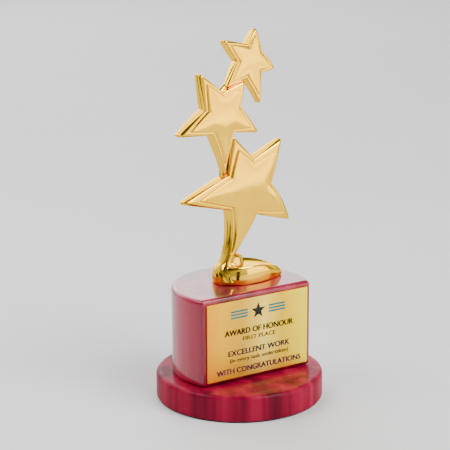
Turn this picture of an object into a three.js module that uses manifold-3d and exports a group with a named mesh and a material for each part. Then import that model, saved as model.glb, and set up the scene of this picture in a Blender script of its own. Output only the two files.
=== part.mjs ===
// Star trophy: three stacked gilt stars on a teardrop foot, screwed to a lacquered block and a round plinth.
// Millimetres, +Z up, the plate faces -Y, and the origin is the centre of the underside.

import * as THREE from "three";
import { mergeVertices } from "three/addons/utils/BufferGeometryUtils.js";
import Module from "manifold-3d";

const wasm = await Module();
wasm.setup();

// ---------------------------------------------------------------- driving dimensions

const GAP = 0.3; // clearance kept between pieces that touch
const LAYER_GAP = 0.1; // clearance on each side of the thin adhesive and felt layers

const PLINTH_R = 51;
const PLINTH_H = 15.5;
const PLINTH_ROUND = 2.8;
const PLINTH_CHAMFER = 0.4; // round the underside
const FELT_R = 50.4;
const FELT_T = 0.8;

const BLOCK_W = 76.4; // across the flat front
const BLOCK_H = 53.7;
const BLOCK_FRONT_Y = -19.9;
const BLOCK_ARC_R = 42.2;
const BLOCK_ARC_Y = -2.2; // centre of the curved back
const BLOCK_CORNER_R = 1.2;
const BLOCK_ROUND = 2.4;

const PLATE_W = 71.8;
const PLATE_H = 48;
const PLATE_T = 0.8;
const PLATE_UP = 2.6; // from the block's lower edge to the plate's
const ADHESIVE_T = 0.2;
const ADHESIVE_MARGIN = 2;

const FIGURE_Y = 8; // depth of the plane that the large and medium stars stand in
const STAR_WALL = 1.5;
const EDGE_OUT = 0.35; // the rounded edge between wall and rim: its width and its depth
const EDGE_DEPTH = 0.5;
const LIP_W = 1.1; // flat rim round each star face
const GROOVE = 0.35; // step between the rim and the domed face

const ROD_R = 3; // M6 tie rod
const ROD_X = -1;
const ROD_UP_INTO_FOOT = 7;
const NUT_FLATS = 10;
const NUT_T = 5;
const WASHER_R = 9;
const WASHER_T = 1.6;
const SPRING_WASHER_R = 5.6;
const SPRING_WASHER_T = 1.5;
const ROD_BELOW_NUT = 0.5;
const SPRING_SPLIT = [4, 0.8, 4]; // the cut through the spring washer's ring
const SPRING_SPLIT_TILT = 0.4; // radians
const COUNTERBORE_R = 11;
const COUNTERBORE_DEPTH = 10;

const SCREW_CIRCLE_R = 27;
const SCREW_HEAD_R = 4;
const SCREW_SHANK_R = 2;
const SCREW_LENGTH = 36;
const SCREW_POINT = 5;
const SCREW_SUNK = 0.6; // the heads sit this far above the plinth's underside
const CROSS_SLOT = [5, 0.9, 2.4];

const FOOT_LENGTH = 45.8;
const FOOT_HALF_W = 15; // before the taper towards the tip, which leaves 11.8 at the widest
const FOOT_H = 10.3;
const FOOT_CENTRE = [9.5, 4.7];
const FOOT_TURN = -9; // degrees about Z
const LEG_FOOT_X = -6; // where the leg stands on the foot

const LEG_PIN_R = 1.5;
const STAR_DOWEL_R = 1.5;
const STAR_DOWEL_L = 20;

// Each star in its own frame: x right, z up, y back, seam between the half shells at y = 0.
// Arms run anticlockwise from the upper right one: [reach, lean off the regular direction in degrees,
// bow of the arm's first edge, bow of its second edge, share of the back half's depth lost at the tip],
// bows in mm and positive outwards.
const STARS = {
  large: {
    centre: [9.7, FIGURE_Y, 126.8],
    yaw: 5,
    lean: 1.5,
    notchR: 17.6,
    turn: 2.9,
    arms: [
      [38.6, 5.9, 0.4, 0],
      [35.2, -3.8, 0.2, 0.2],
      [48.6, 0.2, 0.2, 0.2],
      [51.9, -6.4, -2.1, 0.8],
      [41.2, -3, 0.2, 1.4],
    ],
    halfDepth: 4.2, // seam to rim
    draft: 0.5, // how far the seam stands out beyond the rim
    dome: 2.2,
    tipR: 0.6,
  },
  medium: {
    centre: [-7.7, FIGURE_Y, 173.3],
    yaw: 3,
    lean: 1,
    notchR: 13,
    turn: 17.2,
    arms: [
      [25.2, -4.4, 0.3, 0.2],
      [30.2, -4, 0.1, 0.1],
      [33.2, -0.5, 0.2, 0.2],
      [37.6, 1.6, -0.5, -0.3, 0.85],
      [29.3, -7.7, 0.1, 0.3],
    ],
    halfDepth: 4.2,
    draft: 0.5,
    dome: 1.9,
    tipR: 0.6,
  },
  small: {
    centre: [15.3, FIGURE_Y + 4.5, 202.5],
    yaw: 6,
    lean: 6,
    notchR: 10.1,
    turn: 29,
    arms: [
      [20.6, 8.2, 0.3, 0.2],
      [24.2, 7.2, 0.2, 0.2],
      [25.2, 5.6, 0.1, 0.1, 0.5],
      [27, 0.4, -0.2, 0.1, 0.35],
      [19.9, -10.5, 0.4, 0.5],
    ],
    halfDepth: 3.2,
    draft: 0.4,
    dome: 1.6,
    tipR: 0.7,
  },
};

// ---------------------------------------------------------------- colours

const gold = { color: 0xe9c46a, roughness: 0.12, metalness: 1 };
const plateGold = { color: 0xe6c96b, roughness: 0.25, metalness: 1 };
const redLacquer = { color: 0x8e1a2b, roughness: 0.08, metalness: 0 };
const steel = { color: 0xb8bcc0, roughness: 0.35, metalness: 1 };
const darkFelt = { color: 0x1a1a1d, roughness: 1, metalness: 0 };
const adhesiveWhite = { color: 0xe8e6df, roughness: 0.8, metalness: 0 };

// ---------------------------------------------------------------- solids and booleans

function solid(geometry) {
  const g = (geometry.index ? geometry.toNonIndexed() : geometry).clone();
  for (const name of Object.keys(g.attributes)) {
    if (name !== "position") g.deleteAttribute(name);
  }
  const merged = mergeVertices(g, 1e-4);
  const corners = merged.index.array;
  const triVerts = [];
  for (let i = 0; i < corners.length; i += 3) {
    const [a, b, c] = [corners[i], corners[i + 1], corners[i + 2]];
    if (a !== b && b !== c && c !== a) triVerts.push(a, b, c); // a lathe's poles hold collapsed triangles
  }
  const vertProperties = merged.attributes.position.array;
  return new wasm.Manifold(
    new wasm.Mesh({ numProp: 3, vertProperties, triVerts: new Uint32Array(triVerts) }),
  );
}

// The largest connected body of a solid, as a geometry with flat normals.
function geometryOf(manifold) {
  const bodies = manifold.decompose().sort((a, b) => b.volume() - a.volume());
  const mesh = bodies[0].getMesh();
  const g = new THREE.BufferGeometry();
  g.setAttribute("position", new THREE.BufferAttribute(new Float32Array(mesh.vertProperties), 3));
  g.setIndex(new THREE.BufferAttribute(new Uint32Array(mesh.triVerts), 1));
  return g;
}

function cut(geometry, cutters) {
  const tool = cutters.map(solid).reduce((a, b) => a.add(b));
  return geometryOf(solid(geometry).subtract(tool));
}

function join(...geometries) {
  return geometryOf(geometries.map(solid).reduce((a, b) => a.add(b)));
}

function addMesh(parent, name, geometry, look) {
  const mesh = new THREE.Mesh(geometry, new THREE.MeshStandardMaterial({ ...look, flatShading: true }));
  mesh.name = name;
  parent.add(mesh);
  return mesh;
}

// An upright rod from z0 to z1.
function rod(r, z0, z1, x = 0, y = 0, sides = 32) {
  return new THREE.CylinderGeometry(r, r, z1 - z0, sides)
    .rotateX(Math.PI / 2)
    .translate(x, y, (z0 + z1) / 2);
}

// A solid turned about Z from [radius, z] points that start and end on the axis.
function turned(profile, sides = 64) {
  const points = profile.map(([r, z]) => new THREE.Vector2(r, z));
  return new THREE.LatheGeometry(points, sides).rotateX(Math.PI / 2);
}

// Points of a quarter circle, for a rounded edge of a turned profile.
function roundedEdge(cx, cz, r, fromDeg, toDeg, steps = 8) {
  return Array.from({ length: steps + 1 }, (_, i) => {
    const a = THREE.MathUtils.degToRad(fromDeg + ((toDeg - fromDeg) * i) / steps);
    return [cx + r * Math.cos(a), cz + r * Math.sin(a)];
  });
}

// A closed body lofted through rings of equally many points, capped at both ends by a fan to a centre point.
function loft(rings, firstCentre, lastCentre) {
  const n = rings[0].length;
  const points = [firstCentre, ...rings.flat(), lastCentre];
  const last = points.length - 1;
  const index = [];
  for (let i = 0; i < n; i++) {
    const j = (i + 1) % n;
    index.push(0, 1 + j, 1 + i);
    for (let k = 0; k + 1 < rings.length; k++) {
      const a = 1 + k * n;
      const b = a + n;
      index.push(a + i, a + j, b + i, a + j, b + j, b + i);
    }
    const end = 1 + (rings.length - 1) * n;
    index.push(end + i, end + j, last);
  }
  const g = new THREE.BufferGeometry();
  g.setAttribute("position", new THREE.Float32BufferAttribute(points.flat(), 3));
  g.setIndex(index);
  return g;
}

// ---------------------------------------------------------------- star outlines

const ARM_STEP = 72;
const EDGE_STEPS = 3; // segments along each edge
const TIP_STEPS = 3; // segments round each arm's tip

function polar(r, degrees) {
  const a = THREE.MathUtils.degToRad(degrees);
  return new THREE.Vector2(r * Math.cos(a), r * Math.sin(a));
}

// Point where the lines through a and b, running along u and v, meet.
function meet(a, u, b, v) {
  const t = b.clone().sub(a).cross(v) / u.cross(v);
  return a.clone().addScaledVector(u, t);
}

// To the right of a direction, which is outwards when going anticlockwise.
const normalOf = (u) => new THREE.Vector2(u.y, -u.x);

// Outline of a star's rim, moved outwards by `out` (inwards if negative), as anticlockwise [x, z] points.
function starOutline(star, out) {
  const notches = star.arms.map((_, i) => polar(star.notchR, star.turn + ARM_STEP * i));
  const tips = star.arms.map(([reach, lean], i) => {
    return polar(reach, star.turn + ARM_STEP * (i + 0.5) + lean);
  });
  // The ten edges in order: notch to tip, then tip to the next notch.
  const edges = star.arms.flatMap(([, , bowUp, bowDown], i) => [
    { from: notches[i], to: tips[i], bow: bowUp },
    { from: tips[i], to: notches[(i + 1) % 5], bow: bowDown },
  ]);
  for (const edge of edges) {
    edge.dir = edge.to.clone().sub(edge.from).normalize();
    edge.base = edge.from.clone().addScaledVector(normalOf(edge.dir), out);
  }
  const corner = (a, b) => meet(a.base, a.dir, b.base, b.dir);
  const outline = [];
  star.arms.forEach((_, i) => {
    const up = edges[2 * i];
    const down = edges[2 * i + 1];
    const before = edges[(2 * i + 9) % 10];
    const after = edges[(2 * i + 2) % 10];
    const start = corner(before, up);
    const end = corner(down, after);
    const apex = corner(up, down);
    // The tip is a small arc that touches both edges.
    const half = Math.acos(THREE.MathUtils.clamp(-up.dir.dot(down.dir), -1, 1)) / 2;
    const r = Math.max(star.tipR + out, 0.12);
    const inward = down.dir.clone().sub(up.dir).normalize();
    const centre = apex.clone().addScaledVector(inward, r / Math.sin(half));
    const touchUp = centre.clone().addScaledVector(normalOf(up.dir), r);
    const touchDown = centre.clone().addScaledVector(normalOf(down.dir), r);
    const bowed = (a, b, edge, t) => {
      const p = a.clone().lerp(b, t);
      return p.addScaledVector(normalOf(edge.dir), 4 * edge.bow * t * (1 - t));
    };
    for (let k = 0; k < EDGE_STEPS; k++) outline.push(bowed(start, touchUp, up, k / EDGE_STEPS));
    const a0 = touchUp.clone().sub(centre).angle();
    const sweep = Math.PI - 2 * half;
    for (let k = 0; k < TIP_STEPS; k++) {
      const a = a0 + (sweep * k) / TIP_STEPS;
      outline.push(new THREE.Vector2(centre.x + r * Math.cos(a), centre.y + r * Math.sin(a)));
    }
    for (let k = 0; k < EDGE_STEPS; k++) outline.push(bowed(touchDown, end, down, k / EDGE_STEPS));
  });
  return outline.map((p) => [p.x, p.y]);
}

// ---------------------------------------------------------------- star shells

const DOME_RINGS = [0.84, 0.58, 0.28];

const ringAt = (outline, y, scale = 1) => outline.map(([x, z]) => [x * scale, y, z * scale]);

// Rings of one face of a star: seam, wall, rounded edge, flat rim, groove and dome. `grow` thickens the
// body all round, and a negative `grow` gives the hollow inside the shell.
function faceRings(star, grow) {
  const rim = star.halfDepth + grow;
  const seam = starOutline(star, star.draft + grow);
  const wallTop = starOutline(star, EDGE_OUT + grow);
  const rimOuter = starOutline(star, grow);
  const rimInner = starOutline(star, grow - LIP_W);
  const rings = [ringAt(seam, 0), ringAt(wallTop, -(rim - EDGE_DEPTH)), ringAt(rimOuter, -rim)];
  rings.push(ringAt(rimInner, -(rim + GROOVE)));
  for (const s of DOME_RINGS) {
    rings.push(ringAt(rimInner, -(rim + GROOVE + star.dome * Math.sqrt(1 - s * s)), s));
  }
  return rings;
}

const apexOf = (star, grow) => [0, -(star.halfDepth + grow + GROOVE + star.dome), 0];

// The front half shell, from the seam plane forwards, hollow and open at the seam.
function starShell(star) {
  const outer = faceRings(star, 0);
  const inner = faceRings(star, -STAR_WALL);
  const seamY = -GAP / 2;
  outer[0] = outer[0].map(([x, , z]) => [x, seamY, z]);
  inner[0] = inner[0].map(([x, , z]) => [x, seamY, z]);
  return loft([...inner.reverse(), ...outer], apexOf(star, -STAR_WALL), apexOf(star, 0));
}

// The whole star, both halves and solid, grown by `grow`: the space that a neighbour is trimmed to.
function starBlank(star, grow) {
  const front = faceRings(star, grow);
  const back = front.slice(1).map((ring) => ring.map(([x, y, z]) => [x, -y, z]));
  const frontApex = apexOf(star, grow);
  const backApex = [frontApex[0], -frontApex[1], frontApex[2]];
  return loft([...back.reverse(), ...front], backApex, frontApex);
}

// Share of its depth that the back half keeps at a point of the star: an arm may thin towards its tip.
function backDepthShare(star, x, z) {
  const p = new THREE.Vector2(x, z);
  const degrees = THREE.MathUtils.radToDeg(p.angle()) - star.turn;
  const steps = THREE.MathUtils.euclideanModulo(degrees, 360) / ARM_STEP;
  const [reach, , , , thin = 0] = star.arms[Math.floor(steps) % 5];
  return 1 - thin * THREE.MathUtils.smoothstep(p.length(), star.notchR, reach);
}

// The back half of a star's shell, mirrored from its front half.
function backHalf(star, geometry) {
  const g = geometry.clone();
  const places = g.getAttribute("position");
  for (let i = 0; i < places.count; i++) {
    const [x, y, z] = [places.getX(i), places.getY(i), places.getZ(i)];
    const share = backDepthShare(star, x, z);
    places.setY(i, Math.max(GAP / 2, -y * share));
  }
  const index = g.index.array;
  for (let i = 0; i < index.length; i += 3) {
    [index[i + 1], index[i + 2]] = [index[i + 2], index[i + 1]];
  }
  return g;
}

function starFrame(star) {
  const frame = new THREE.Group();
  frame.position.set(...star.centre);
  frame.rotation.order = "ZXY";
  frame.rotation.set(THREE.MathUtils.degToRad(-star.lean), 0, THREE.MathUtils.degToRad(star.yaw));
  frame.updateMatrixWorld(true);
  return frame;
}

const trophy = new THREE.Group();
const frames = {};
for (const [name, star] of Object.entries(STARS)) {
  frames[name] = starFrame(star);
  trophy.add(frames[name]);
}

// A geometry given in one frame, moved into another frame.
function moved(geometry, from, to) {
  const m = new THREE.Matrix4().copy(to.matrixWorld).invert().multiply(from.matrixWorld);
  return geometry.clone().applyMatrix4(m);
}

// A pin between two points.
function pinBetween(a, b, r, sides = 16) {
  const from = new THREE.Vector3(...a);
  const along = new THREE.Vector3(...b).sub(from);
  const g = new THREE.CylinderGeometry(r, r, along.length(), sides).translate(0, along.length() / 2, 0);
  const turn = new THREE.Quaternion().setFromUnitVectors(new THREE.Vector3(0, 1, 0), along.normalize());
  return g.applyQuaternion(turn).translate(...a);
}

// A pin along an arm of a star, centred on the arm's tip, in the star's own frame.
function armPin(star, arm, r, length) {
  const [reach, lean] = star.arms[arm];
  const degrees = star.turn + ARM_STEP * (arm + 0.5) + lean;
  const inner = polar(reach - length / 2, degrees);
  const outer = polar(reach + length / 2, degrees);
  return pinBetween([inner.x, 0, inner.y], [outer.x, 0, outer.y], r);
}

// ---------------------------------------------------------------- figure

const PLINTH_Z = FELT_T + LAYER_GAP;
const BLOCK_Z = PLINTH_Z + PLINTH_H + GAP;
const BLOCK_TOP = BLOCK_Z + BLOCK_H;
const FOOT_Z = BLOCK_TOP + GAP;

const LOWER_LEFT_ARM = 2; // the small star's arm that lies in the medium star's top notch
const LEG_ARM = 3; // the arm that points down
// The pin that ties the leg to the foot, from inside the foot to well up the leg.
const legPinEnds = [
  [LEG_FOOT_X - 0.5, FIGURE_Y - 0.5, FOOT_Z + 2.5],
  [LEG_FOOT_X + 5, FIGURE_Y, FOOT_Z + 29],
];

// Pins and their clearance holes, each in the named star's frame.
const mediumDowel = (r) => armPin(STARS.medium, LEG_ARM, r, STAR_DOWEL_L);
const smallDowel = (r) => armPin(STARS.small, LOWER_LEFT_ARM, r, STAR_DOWEL_L);

const cutters = {
  large: [
    moved(mediumDowel(STAR_DOWEL_R + GAP), frames.medium, frames.large),
    moved(pinBetween(...legPinEnds, LEG_PIN_R + GAP), trophy, frames.large),
  ],
  medium: [
    moved(starBlank(STARS.large, GAP), frames.large, frames.medium),
    mediumDowel(STAR_DOWEL_R + GAP),
    moved(smallDowel(STAR_DOWEL_R + GAP), frames.small, frames.medium),
  ],
  small: [
    moved(starBlank(STARS.medium, GAP), frames.medium, frames.small),
    smallDowel(STAR_DOWEL_R + GAP),
  ],
};

for (const [name, star] of Object.entries(STARS)) {
  const front = starShell(star);
  addMesh(frames[name], `${name}_star_front`, cut(front, cutters[name]), gold);
  addMesh(frames[name], `${name}_star_back`, cut(backHalf(star, front), cutters[name]), gold);
}
addMesh(frames.medium, "medium_star_dowel", mediumDowel(STAR_DOWEL_R), gold);
addMesh(frames.small, "small_star_dowel", smallDowel(STAR_DOWEL_R), gold);
addMesh(trophy, "leg_pin", pinBetween(...legPinEnds, LEG_PIN_R), steel);

// The foot is a teardrop pebble, high and round at the leg and falling to a point at the right.
function footGeometry() {
  const sides = 40;
  const heightAt = (u) => FOOT_H * (1 + 0.19 * u - 0.84 * u ** 4); // u runs from the round end to the tip
  // [share of the height, share of the plan] up the rolled side and over the top
  const section = [
    [0, 0.94],
    [0.18, 0.985],
    [0.42, 1],
    [0.7, 0.98],
    [0.9, 0.93],
    [1, 0.84],
    [1, 0.45],
  ];
  const rings = section.map(([up, out]) => {
    return Array.from({ length: sides }, (_, i) => {
      const a = (2 * Math.PI * i) / sides;
      const taper = Math.sin(a / 2) ** 0.9;
      const x = (FOOT_LENGTH / 2) * out * Math.cos(a);
      return [x, FOOT_HALF_W * out * Math.sin(a) * taper, up * heightAt(0.5 + x / FOOT_LENGTH)];
    });
  });
  const turn = THREE.MathUtils.degToRad(FOOT_TURN);
  return loft(rings, [0, 0, 0], [0, 0, heightAt(0.5)]).rotateZ(turn).translate(...FOOT_CENTRE, FOOT_Z);
}

// The shoulder that rises from the foot behind the end of the leg.
function shoulderGeometry() {
  const sides = 28;
  const y = FIGURE_Y + 3;
  // [height over the foot's underside, centre x, half width, half depth]
  const stations = [
    [3, LEG_FOOT_X + 6.5, 9.5, 6],
    [9, LEG_FOOT_X + 6.6, 9.4, 6],
    [11, LEG_FOOT_X + 7.4, 8.4, 5.8],
    [13.4, LEG_FOOT_X + 7.8, 7.7, 5.4],
    [15.5, LEG_FOOT_X + 6.2, 5.8, 5],
    [16.6, LEG_FOOT_X + 5.2, 4.4, 4.4],
  ];
  const rings = stations.map(([up, x, halfW, halfD]) => {
    return Array.from({ length: sides }, (_, i) => {
      const a = (2 * Math.PI * i) / sides;
      return [x + halfW * Math.cos(a), y + halfD * Math.sin(a), FOOT_Z + up];
    });
  });
  const [first] = stations;
  const last = stations.at(-1);
  return loft(rings, [first[1], y, FOOT_Z + first[0]], [last[1], y, FOOT_Z + last[0]]);
}

const LOCATING_PIN = { x: 16, r: 1.5, down: 8, up: 4 };
const locatingPin = (r) => {
  return rod(r, FOOT_Z - LOCATING_PIN.down, FOOT_Z + LOCATING_PIN.up, LOCATING_PIN.x, FIGURE_Y, 16);
};

const ROD_TOP = FOOT_Z + ROD_UP_INTO_FOOT;
const foot = cut(join(footGeometry(), shoulderGeometry()), [
  moved(starBlank(STARS.large, GAP), frames.large, trophy),
  pinBetween(...legPinEnds, LEG_PIN_R + GAP),
  rod(ROD_R + GAP, FOOT_Z - 1, ROD_TOP + GAP, ROD_X, FIGURE_Y),
  locatingPin(LOCATING_PIN.r + GAP),
]);
addMesh(trophy, "foot", foot, gold);
addMesh(trophy, "foot_locating_pin", locatingPin(LOCATING_PIN.r), steel);

// ---------------------------------------------------------------- block, plinth and felt

// One level of the block, drawn in by `inset`: a circle cut by a flat front, with two small corners.
function blockRing(inset, z) {
  const r = BLOCK_ARC_R - inset;
  const frontY = BLOCK_FRONT_Y + inset;
  const cornerR = Math.max(BLOCK_CORNER_R - inset, 0.4);
  const cornerY = frontY + cornerR;
  const cornerX = Math.sqrt((r - cornerR) ** 2 - (cornerY - BLOCK_ARC_Y) ** 2);
  const lean = Math.atan2(cornerY - BLOCK_ARC_Y, cornerX); // where the corner runs into the back's arc
  const arc = (cx, cy, radius, from, to, steps) => {
    return Array.from({ length: steps + 1 }, (_, i) => {
      const a = from + ((to - from) * i) / steps;
      return [cx + radius * Math.cos(a), cy + radius * Math.sin(a), z];
    });
  };
  return [
    ...arc(cornerX, cornerY, cornerR, -Math.PI / 2, lean, 3),
    ...arc(0, BLOCK_ARC_Y, r, lean, Math.PI - lean, 48).slice(1, -1),
    ...arc(-cornerX, cornerY, cornerR, Math.PI - lean, 1.5 * Math.PI, 3),
  ];
}

function blockGeometry() {
  const steps = 4;
  const quarter = Array.from({ length: steps + 1 }, (_, i) => (Math.PI / 2) * (i / steps));
  const lower = quarter.map((a) => {
    return blockRing(BLOCK_ROUND * (1 - Math.sin(a)), BLOCK_Z + BLOCK_ROUND * (1 - Math.cos(a)));
  });
  const upper = quarter.map((a) => {
    return blockRing(BLOCK_ROUND * (1 - Math.cos(a)), BLOCK_TOP - BLOCK_ROUND * (1 - Math.sin(a)));
  });
  return loft([...lower, ...upper], [0, FIGURE_Y, BLOCK_Z], [0, FIGURE_Y, BLOCK_TOP]);
}

const screwPlaces = Array.from({ length: 3 }, (_, i) => {
  const a = THREE.MathUtils.degToRad(90 + 120 * i);
  return [SCREW_CIRCLE_R * Math.cos(a), FIGURE_Y + SCREW_CIRCLE_R * Math.sin(a)];
});

const SCREW_Z = PLINTH_Z + SCREW_SUNK;

// A countersunk wood screw pointing up, grown by `grow`, with its head's flat at SCREW_Z.
function screwBody(grow, x, y) {
  const head = SCREW_HEAD_R + grow;
  const shank = SCREW_SHANK_R + grow;
  const neckZ = SCREW_Z + SCREW_HEAD_R - SCREW_SHANK_R;
  const tip = SCREW_Z + SCREW_LENGTH + grow;
  const bottom = grow > 0 ? PLINTH_Z - 1 : SCREW_Z;
  const pointZ = tip - SCREW_POINT;
  const profile = [[0, bottom], [head, bottom], [head, SCREW_Z], [shank, neckZ], [shank, pointZ], [0, tip]];
  return turned(profile, 20).translate(x, y, 0);
}

const blockCutters = [
  rod(ROD_R + GAP, BLOCK_Z - 1, BLOCK_TOP + 1, ROD_X, FIGURE_Y),
  locatingPin(LOCATING_PIN.r + GAP),
  ...screwPlaces.map(([x, y]) => screwBody(GAP, x, y)),
];
addMesh(trophy, "block", cut(blockGeometry(), blockCutters), redLacquer);

const plinthTop = PLINTH_Z + PLINTH_H;
const plinth = turned([
  [0, PLINTH_Z],
  [PLINTH_R - PLINTH_CHAMFER, PLINTH_Z],
  [PLINTH_R, PLINTH_Z + PLINTH_CHAMFER],
  ...roundedEdge(PLINTH_R - PLINTH_ROUND, plinthTop - PLINTH_ROUND, PLINTH_ROUND, 0, 90, 5),
  [0, plinthTop],
], 72);
const plinthCutters = [
  rod(COUNTERBORE_R, PLINTH_Z - 1, PLINTH_Z + COUNTERBORE_DEPTH, ROD_X, FIGURE_Y),
  rod(ROD_R + GAP, PLINTH_Z - 1, plinthTop + 1, ROD_X, FIGURE_Y),
  ...screwPlaces.map(([x, y]) => screwBody(GAP, x, y)),
];
addMesh(trophy, "plinth", cut(plinth, plinthCutters), redLacquer);
addMesh(trophy, "felt_pad", rod(FELT_R, 0, FELT_T, 0, 0, 72), darkFelt);

// ---------------------------------------------------------------- fasteners

screwPlaces.forEach(([x, y], i) => {
  const slot = () => new THREE.BoxGeometry(...CROSS_SLOT);
  const cross = [slot(), slot().rotateZ(Math.PI / 2)].map((g) => g.translate(x, y, SCREW_Z));
  addMesh(trophy, `plinth_screw_${i + 1}`, cut(screwBody(0, x, y), cross), steel);
});

const seatZ = PLINTH_Z + COUNTERBORE_DEPTH - GAP; // the flat washer bears on the counterbore's floor
const washerZ = seatZ - WASHER_T;
const springZ = washerZ - GAP - SPRING_WASHER_T;
const nutZ = springZ - GAP - NUT_T;
const rodHole = rod(ROD_R + GAP, FELT_T, plinthTop);
const onRod = (name, geometry) => addMesh(trophy, name, geometry, steel).position.set(ROD_X, FIGURE_Y, 0);

onRod("flat_washer", cut(rod(WASHER_R, washerZ, seatZ), [rodHole]));
const springRing = rod(SPRING_WASHER_R, springZ, springZ + SPRING_WASHER_T);
const split = new THREE.BoxGeometry(...SPRING_SPLIT)
  .rotateX(SPRING_SPLIT_TILT)
  .translate((ROD_R + SPRING_WASHER_R) / 2, 0, springZ + SPRING_WASHER_T / 2);
onRod("spring_washer", cut(springRing, [rodHole, split]));
onRod("rod_nut", cut(rod(NUT_FLATS / Math.sqrt(3), nutZ, nutZ + NUT_T, 0, 0, 6), [rodHole]));
onRod("tie_rod", rod(ROD_R, nutZ - ROD_BELOW_NUT, ROD_TOP, 0, 0, 24));

// ---------------------------------------------------------------- nameplate

const plateZ = BLOCK_Z + PLATE_UP;
const adhesiveY = BLOCK_FRONT_Y - LAYER_GAP;
const adhesive = new THREE.BoxGeometry(
  PLATE_W - 2 * ADHESIVE_MARGIN,
  ADHESIVE_T,
  PLATE_H - 2 * ADHESIVE_MARGIN,
);
addMesh(trophy, "nameplate_adhesive", adhesive, adhesiveWhite)
  .position.set(0, adhesiveY - ADHESIVE_T / 2, plateZ + PLATE_H / 2);
addMesh(trophy, "nameplate", new THREE.BoxGeometry(PLATE_W, PLATE_T, PLATE_H), plateGold)
  .position.set(0, adhesiveY - ADHESIVE_T - LAYER_GAP - PLATE_T / 2, plateZ + PLATE_H / 2);

export default trophy;
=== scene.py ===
import cmath
import math
from collections import namedtuple

import bmesh
import bpy
import numpy as np
from mathutils import Matrix, Vector
from mathutils.geometry import delaunay_2d_cdt


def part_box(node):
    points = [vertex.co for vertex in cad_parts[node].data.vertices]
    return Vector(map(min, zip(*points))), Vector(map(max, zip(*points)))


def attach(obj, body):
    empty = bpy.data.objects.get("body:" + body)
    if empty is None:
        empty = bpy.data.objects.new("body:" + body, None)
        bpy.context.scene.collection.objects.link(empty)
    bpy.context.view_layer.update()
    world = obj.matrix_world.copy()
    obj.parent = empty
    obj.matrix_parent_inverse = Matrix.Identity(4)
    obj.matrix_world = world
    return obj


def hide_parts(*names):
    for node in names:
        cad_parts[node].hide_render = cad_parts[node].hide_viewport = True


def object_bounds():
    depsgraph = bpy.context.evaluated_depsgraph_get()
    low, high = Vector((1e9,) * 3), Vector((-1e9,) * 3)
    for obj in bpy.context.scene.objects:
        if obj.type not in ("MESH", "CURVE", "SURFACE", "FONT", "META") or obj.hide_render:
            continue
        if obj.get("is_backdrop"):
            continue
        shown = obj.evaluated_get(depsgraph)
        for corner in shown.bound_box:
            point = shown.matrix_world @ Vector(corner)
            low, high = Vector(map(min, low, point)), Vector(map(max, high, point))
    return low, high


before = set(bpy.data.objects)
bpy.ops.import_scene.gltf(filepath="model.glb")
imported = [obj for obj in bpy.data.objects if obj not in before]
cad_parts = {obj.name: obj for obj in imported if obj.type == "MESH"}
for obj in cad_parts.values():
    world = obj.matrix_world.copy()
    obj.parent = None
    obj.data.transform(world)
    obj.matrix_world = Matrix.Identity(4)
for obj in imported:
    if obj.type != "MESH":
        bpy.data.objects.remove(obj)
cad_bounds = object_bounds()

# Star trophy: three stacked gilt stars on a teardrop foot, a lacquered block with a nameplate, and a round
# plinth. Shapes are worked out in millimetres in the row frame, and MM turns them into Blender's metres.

MM = 0.001
BODY = "root"
SHARP_ANGLE = math.radians(50)  # edges that turn by more than this stay sharp after a cut or a join


def box_mm(node):
    """Lowest and highest corner of a CAD node, in millimetres."""
    low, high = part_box(node)
    return np.array(low) / MM, np.array(high) / MM


# ---------------------------------------------------------------- sizes

BLOCK_LOW, BLOCK_HIGH = box_mm("block")
PLINTH_LOW, PLINTH_HIGH = box_mm("plinth")
PLATE_LOW, PLATE_HIGH = box_mm("nameplate")
FELT_LOW, FELT_HIGH = box_mm("felt_pad")
FOOT_LOW, _ = box_mm("foot")

FIGURE_Y = 8  # depth of the plane that the large and medium stars stand in
ARM_STEP = 72  # degrees from one arm to the next

# An arm of a star: its reach, its lean off the regular direction in degrees, how far its two edges bow
# outwards, and the share of the back half's depth that it has lost at its tip.
Arm = namedtuple("Arm", "reach lean bow_up bow_down thinning")

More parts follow.
